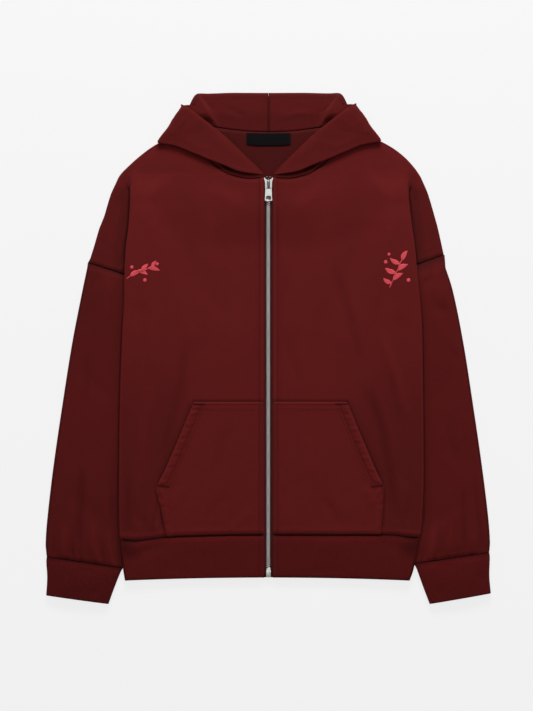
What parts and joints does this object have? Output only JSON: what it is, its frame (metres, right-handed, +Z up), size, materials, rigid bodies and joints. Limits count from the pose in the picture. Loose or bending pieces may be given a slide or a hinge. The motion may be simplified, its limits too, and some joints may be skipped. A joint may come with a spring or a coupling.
{
  "type": "zip up hoodie",
  "caption": "Heavy cotton zip-up hoodie with dropped shoulders, kangaroo pockets and ribbed cuffs and hem, laid flat on its back with the hood folded behind.",
  "frame": {"origin": "centre of the hoodie's outline, on the surface it lies on", "axes": "+Z up from the surface, +Y towards the hood, +X towards the wearer's left; the zip closes on X = 0"},
  "size_m": [0.6894, 0.7896, 0.0213],
  "materials": {
    "fleece": "brushed burgundy cotton fleece, matt",
    "rib": "dark burgundy rib knit, matt",
    "zip_tape": "dark burgundy woven tape",
    "zip_metal": "bright silver zip metal",
    "label": "black woven label"
  },
  "bodies": {
    "garment": {"back": "fleece", "front_right": "fleece", "front_left": "fleece", "sleeve_right": "fleece", "sleeve_left": "fleece", "hood_right": "fleece", "hood_left": "fleece", "hood_fall": "fleece", "pocket_right": "fleece", "pocket_left": "fleece", "cuff_right": "rib", "cuff_left": "rib", "hem_band": "rib", "neck_label": "label", "zip_tape_right": "zip_tape", "zip_tape_left": "zip_tape", "zip_teeth_right": "zip_metal", "zip_teeth_left": "zip_metal", "zip_stop_right": "zip_metal", "zip_stop_left": "zip_metal", "zip_box": "zip_metal", "zip_slider": "zip_metal"},
    "pull_tab": {"zip_pull_tab": "zip_metal"}
  },
  "joints": [
    {"name": "pull_tab_hinge", "type": "hinge", "parent": "garment", "child": "pull_tab", "pos_m": [0, 0.2506, 0.01555], "axis": [-1, 0, 0], "range_deg": [0, 135]}
  ]
}
